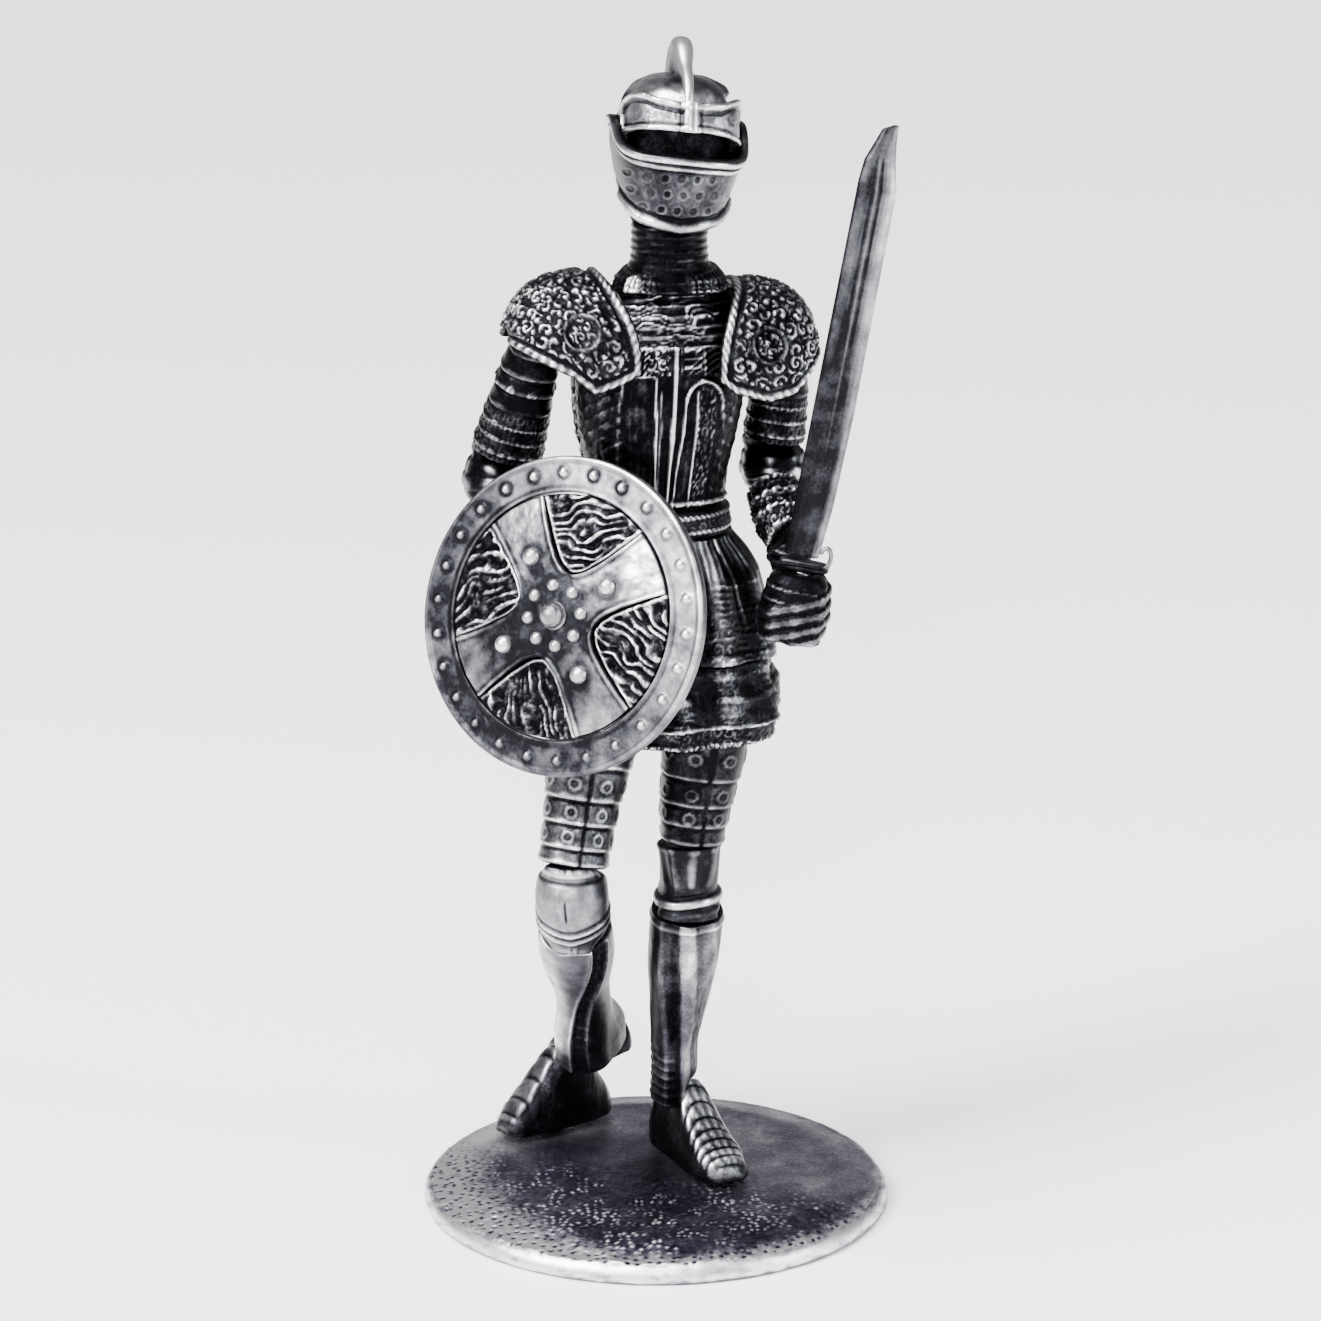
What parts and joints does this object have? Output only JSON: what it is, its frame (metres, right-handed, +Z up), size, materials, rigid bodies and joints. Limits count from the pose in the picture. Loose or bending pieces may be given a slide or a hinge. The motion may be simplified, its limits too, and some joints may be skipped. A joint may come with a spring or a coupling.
{
  "type": "miniature knight figure",
  "caption": "Cast pewter miniature knight in full plate armour on a round base, with a visor that tips up, a sword that draws out of the fist and a round shield that turns on a peg.",
  "frame": {"origin": "centre of the round base's flat underside", "axes": "+Z up, the knight faces -Y, its left hand with the sword is towards +X"},
  "size_m": [0.036, 0.036, 0.09],
  "materials": {
    "bright_pewter": "polished antique pewter, rubbed bright on raised detail",
    "aged_pewter": "antique pewter with a dark patina in the recesses",
    "blackened_pewter": "blackened antique pewter, bright only on the highest edges",
    "ground_pewter": "rough stippled pewter ground with a paler pitted edge"
  },
  "bodies": {
    "figure": {"base_plate": "ground_pewter", "belt": "bright_pewter", "skirt_upper": "aged_pewter", "skirt_lower": "aged_pewter", "breastplate": "blackened_pewter", "backplate": "blackened_pewter", "gorget": "blackened_pewter", "neck_peg": "aged_pewter", "helmet_skull": "blackened_pewter", "bevor": "aged_pewter", "visor_pin_left": "bright_pewter", "visor_pin_right": "bright_pewter", "pauldron_left": "aged_pewter", "pauldron_right": "aged_pewter", "rerebrace_left": "blackened_pewter", "rerebrace_right": "blackened_pewter", "elbow_cop_left": "bright_pewter", "elbow_cop_right": "bright_pewter", "vambrace_left": "aged_pewter", "vambrace_right": "blackened_pewter", "gauntlet_left": "aged_pewter", "gauntlet_right": "blackened_pewter", "cuisse_left": "aged_pewter", "cuisse_right": "aged_pewter", "knee_cop_left": "bright_pewter", "knee_cop_right": "bright_pewter", "greave_left": "aged_pewter", "greave_right": "bright_pewter", "sabaton_left": "aged_pewter", "sabaton_right": "aged_pewter"},
    "visor": {"visor": "bright_pewter"},
    "sword": {"sword_blade": "bright_pewter", "sword_guard": "bright_pewter", "sword_grip": "blackened_pewter"},
    "shield": {"shield_board": "blackened_pewter", "shield_rim": "bright_pewter", "shield_cross": "bright_pewter", "shield_boss": "bright_pewter", "shield_peg": "aged_pewter"}
  },
  "joints": [
    {"name": "visor_hinge", "type": "hinge", "parent": "figure", "child": "visor", "pos_m": [0.00155, -0.0023, 0.0832], "axis": [-0.9853, -0.1561, 0.0698], "range_deg": [0, 42]},
    {"name": "sword_slide", "type": "slide", "parent": "figure", "child": "sword", "axis": [0.1771, 0, 0.9842], "range_m": [0, 0.006]},
    {"name": "shield_turn", "type": "hinge", "parent": "figure", "child": "shield", "pos_m": [-0.00685, -0.0108, 0.0492], "axis": [-0.483, -0.8365, 0.2588], "continuous": true}
  ]
}
